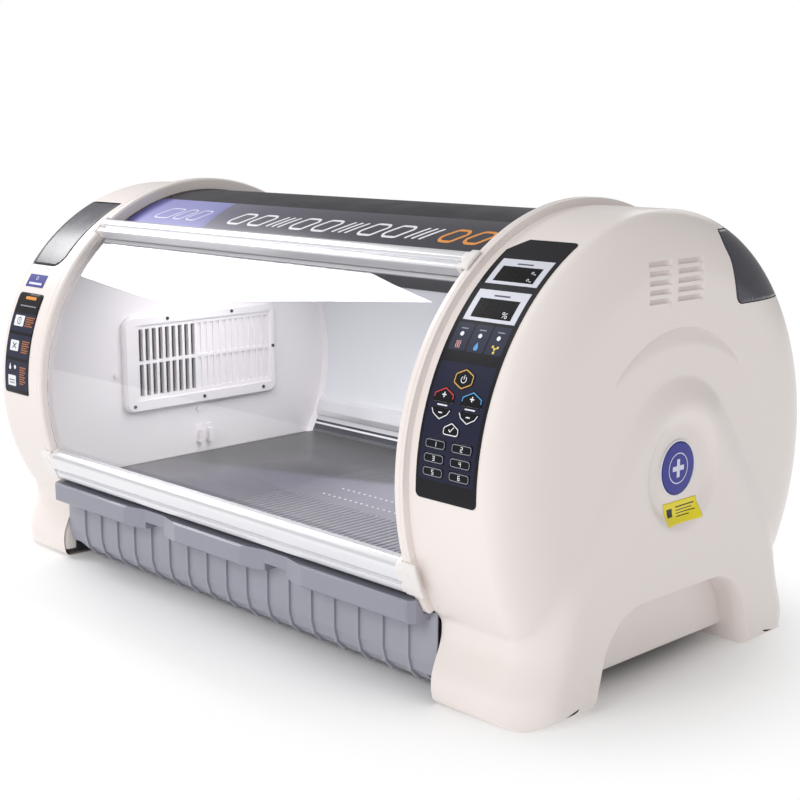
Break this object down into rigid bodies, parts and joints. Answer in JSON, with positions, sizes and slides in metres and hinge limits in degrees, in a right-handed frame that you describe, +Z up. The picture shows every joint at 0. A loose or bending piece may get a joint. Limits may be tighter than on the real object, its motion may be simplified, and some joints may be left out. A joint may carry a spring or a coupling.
{
  "type": "veterinary incubator",
  "caption": "Clear-fronted animal intensive-care incubator with moulded end caps, a lift-over curved door, a slotted floor, a drawer below and a keypad panel.",
  "frame": {"origin": "on the floor under the middle of the chamber", "axes": "+X along the chamber to the control panel's end, -Y to the door side, +Z up"},
  "size_m": [1.304, 0.732, 0.677],
  "materials": {
    "cream_plastic": "moulded, soft gloss",
    "slate_plastic": "gloss",
    "panel_film": "satin film",
    "bezel_film": "satin film",
    "dark_window": "gloss",
    "lens": "gloss",
    "key_film": "satin",
    "hidden_plastic": "matte",
    "clear_sheet": "clear acrylic",
    "bright_rail": "satin anodised",
    "white_plug": "gloss",
    "drawer_plastic": "satin",
    "lip_plastic": "satin",
    "frame_steel": "powder coat",
    "seal": "matte",
    "floor_metal": "satin",
    "liner": "satin",
    "wall": "satin",
    "cover_film": "grained",
    "rear_plastic": "satin",
    "inlet": "matte",
    "steel": "bright",
    "heater_metal": "raw",
    "badge_blue": "gloss",
    "label_yellow": "satin",
    "strip_black": "satin film",
    "label_blue": "satin film",
    "tank": "translucent"
  },
  "bodies": {
    "housing": {"cap_right": "cream_plastic", "cap_left": "cream_plastic", "port_pins": "steel", "control_panel": "panel_film", "display_bezels": "bezel_film", "display_windows": "dark_window", "indicator_lenses": "lens", "key_carrier": "hidden_plastic", "base_frame": "frame_steel", "front_sill": "frame_steel", "sill_seal": "seal", "chamber_liner": "liner", "top_cover": "cover_film", "rear_cover": "rear_plastic", "power_inlet": "inlet", "switch_frame": "inlet", "ceiling_profile": "bright_rail", "rear_profile": "bright_rail", "end_wall_right": "wall", "end_wall_left": "wall", "vent_grille": "wall", "grille_screws": "steel", "wall_hooks": "wall", "fan_frame": "hidden_plastic", "heater": "heater_metal", "badge": "badge_blue", "badge_label": "label_yellow", "guide_strip": "strip_black", "port_label": "label_blue", "foot_pads": "seal", "water_tank": "tank"},
    "door": {"door_sheet": "clear_sheet", "door_rail_lower": "bright_rail", "door_rail_upper": "bright_rail", "door_end_plugs": "white_plug"},
    "drawer": {"drawer_tray": "drawer_plastic", "drawer_lip": "lip_plastic"},
    "floor": {"floor_plate": "floor_metal"},
    "port_right": {"port_cover_right": "slate_plastic"},
    "port_left": {"port_cover_left": "slate_plastic"},
    "fan": {"fan_rotor": "hidden_plastic"},
    "rocker": {"switch_rocker": "inlet"},
    "key_power_body": {"key_power": "key_film"},
    "key_warmer_body": {"key_warmer": "key_film"},
    "key_cooler_body": {"key_cooler": "key_film"},
    "key_wetter_body": {"key_wetter": "key_film"},
    "key_drier_body": {"key_drier": "key_film"},
    "key_confirm_body": {"key_confirm": "key_film"},
    "key_mode_a_body": {"key_mode_a": "key_film"},
    "key_mode_b_body": {"key_mode_b": "key_film"},
    "key_mode_c_body": {"key_mode_c": "key_film"},
    "key_mode_d_body": {"key_mode_d": "key_film"},
    "key_mode_e_body": {"key_mode_e": "key_film"},
    "key_mode_f_body": {"key_mode_f": "key_film"}
  },
  "joints": [
    {"name": "door_turn", "type": "hinge", "parent": "housing", "child": "door", "pos_m": [0, 0, 0.311], "axis": [-1, 0, 0], "range_deg": [0, 75]},
    {"name": "drawer_slide", "type": "slide", "parent": "housing", "child": "drawer", "axis": [0, -1, 0], "range_m": [0, 0.4]},
    {"name": "floor_lift", "type": "slide", "parent": "housing", "child": "floor", "axis": [0, 0, 1], "range_m": [0, 0.1]},
    {"name": "port_right_hinge", "type": "hinge", "parent": "housing", "child": "port_right", "pos_m": [0.55, 0.15146, 0.6303], "axis": [1, 0, 0], "range_deg": [0, 60]},
    {"name": "port_left_hinge", "type": "hinge", "parent": "housing", "child": "port_left", "pos_m": [-0.55, -0.15146, 0.6303], "axis": [-1, 0, 0], "range_deg": [0, 60]},
    {"name": "fan_spin", "type": "hinge", "parent": "housing", "child": "fan", "pos_m": [-0.5, -0.066, 0.337], "axis": [1, 0, 0], "continuous": true},
    {"name": "rocker_tilt", "type": "hinge", "parent": "housing", "child": "rocker", "pos_m": [0.308, 0.27508, 0.074], "axis": [1, 0, 0], "range_deg": [-6, 6]},
    {"name": "key_power_press", "type": "slide", "parent": "housing", "child": "key_power_body", "axis": [0, 0.9048, -0.4258], "range_m": [0, 0.0006], "stiffness_N_per_m": 500, "springref_m": -0.0004},
    {"name": "key_warmer_press", "type": "slide", "parent": "housing", "child": "key_warmer_body", "axis": [0, 0.9314, -0.3641], "range_m": [0, 0.0006], "stiffness_N_per_m": 500, "springref_m": -0.0004},
    {"name": "key_cooler_press", "type": "slide", "parent": "housing", "child": "key_cooler_body", "axis": [0, 0.9553, -0.2957], "range_m": [0, 0.0006], "stiffness_N_per_m": 500, "springref_m": -0.0004},
    {"name": "key_wetter_press", "type": "slide", "parent": "housing", "child": "key_wetter_body", "axis": [0, 0.9314, -0.3641], "range_m": [0, 0.0006], "stiffness_N_per_m": 500, "springref_m": -0.0004},
    {"name": "key_drier_press", "type": "slide", "parent": "housing", "child": "key_drier_body", "axis": [0, 0.9553, -0.2957], "range_m": [0, 0.0006], "stiffness_N_per_m": 500, "springref_m": -0.0004},
    {"name": "key_confirm_press", "type": "slide", "parent": "housing", "child": "key_confirm_body", "axis": [0, 0.9681, -0.2504], "range_m": [0, 0.0006], "stiffness_N_per_m": 500, "springref_m": -0.0004},
    {"name": "key_mode_a_press", "type": "slide", "parent": "housing", "child": "key_mode_a_body", "axis": [0, 0.9821, -0.1882], "range_m": [0, 0.0006], "stiffness_N_per_m": 500, "springref_m": -0.0004},
    {"name": "key_mode_b_press", "type": "slide", "parent": "housing", "child": "key_mode_b_body", "axis": [0, 0.9821, -0.1882], "range_m": [0, 0.0006], "stiffness_N_per_m": 500, "springref_m": -0.0004},
    {"name": "key_mode_c_press", "type": "slide", "parent": "housing", "child": "key_mode_c_body", "axis": [0, 0.9906, -0.1366], "range_m": [0, 0.0006], "stiffness_N_per_m": 500, "springref_m": -0.0004},
    {"name": "key_mode_d_press", "type": "slide", "parent": "housing", "child": "key_mode_d_body", "axis": [0, 0.9906, -0.1366], "range_m": [0, 0.0006], "stiffness_N_per_m": 500, "springref_m": -0.0004},
    {"name": "key_mode_e_press", "type": "slide", "parent": "housing", "child": "key_mode_e_body", "axis": [0, 0.9963, -0.0863], "range_m": [0, 0.0006], "stiffness_N_per_m": 500, "springref_m": -0.0004},
    {"name": "key_mode_f_press", "type": "slide", "parent": "housing", "child": "key_mode_f_body", "axis": [0, 0.9963, -0.0863], "range_m": [0, 0.0006], "stiffness_N_per_m": 500, "springref_m": -0.0004}
  ]
}
